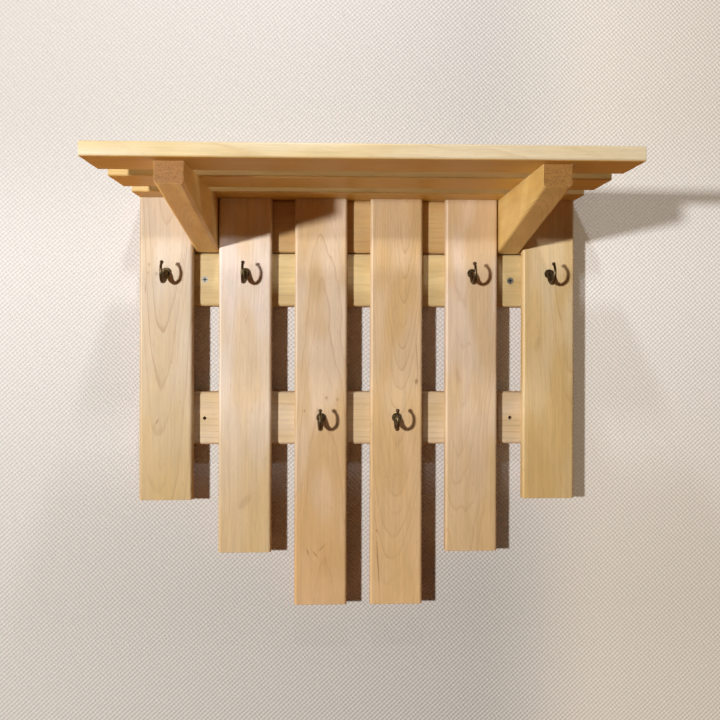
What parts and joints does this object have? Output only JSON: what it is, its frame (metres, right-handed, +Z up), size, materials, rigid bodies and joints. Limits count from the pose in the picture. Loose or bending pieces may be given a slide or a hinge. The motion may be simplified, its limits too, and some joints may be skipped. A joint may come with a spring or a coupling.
{
  "type": "peg rail with shelf",
  "caption": "Wall-mounted wooden coat rack: stepped upright slats on level rails, curled metal hooks and a slatted hat shelf on solid brackets.",
  "frame": {"origin": "on the wall plane, midway between the two wall screws", "axes": "+X to the right as one faces the rack, +Y into the wall along the wall screws, +Z up"},
  "size_m": [0.5796, 0.2842, 0.556],
  "materials": {
    "slat_wood": "planed pale alder, oiled",
    "rail_wood": "planed pale alder, oiled",
    "shelf_wood": "planed pale alder, oiled",
    "bracket_wood": "sawn and sanded alder",
    "hook_bronze": "antique bronze",
    "zinc_steel": "bright zinc"
  },
  "bodies": {
    "root": {"slat_1": "slat_wood", "slat_2": "slat_wood", "slat_3": "slat_wood", "slat_4": "slat_wood", "slat_5": "slat_wood", "slat_6": "slat_wood", "top_rail": "rail_wood", "middle_rail": "rail_wood", "lower_rail": "rail_wood", "shelf_board_back": "shelf_wood", "shelf_board_middle": "shelf_wood", "shelf_board_front": "shelf_wood", "bracket_left": "bracket_wood", "bracket_right": "bracket_wood", "hook_1": "hook_bronze", "hook_2": "hook_bronze", "hook_3": "hook_bronze", "hook_4": "hook_bronze", "hook_5": "hook_bronze", "hook_6": "hook_bronze", "top_rail_screws": "zinc_steel", "middle_rail_screws": "zinc_steel", "lower_rail_screws": "zinc_steel", "bracket_screws": "zinc_steel", "shelf_screws": "zinc_steel", "wall_screw_left": "zinc_steel", "wall_screw_right": "zinc_steel"}
  },
  "joints": []
}
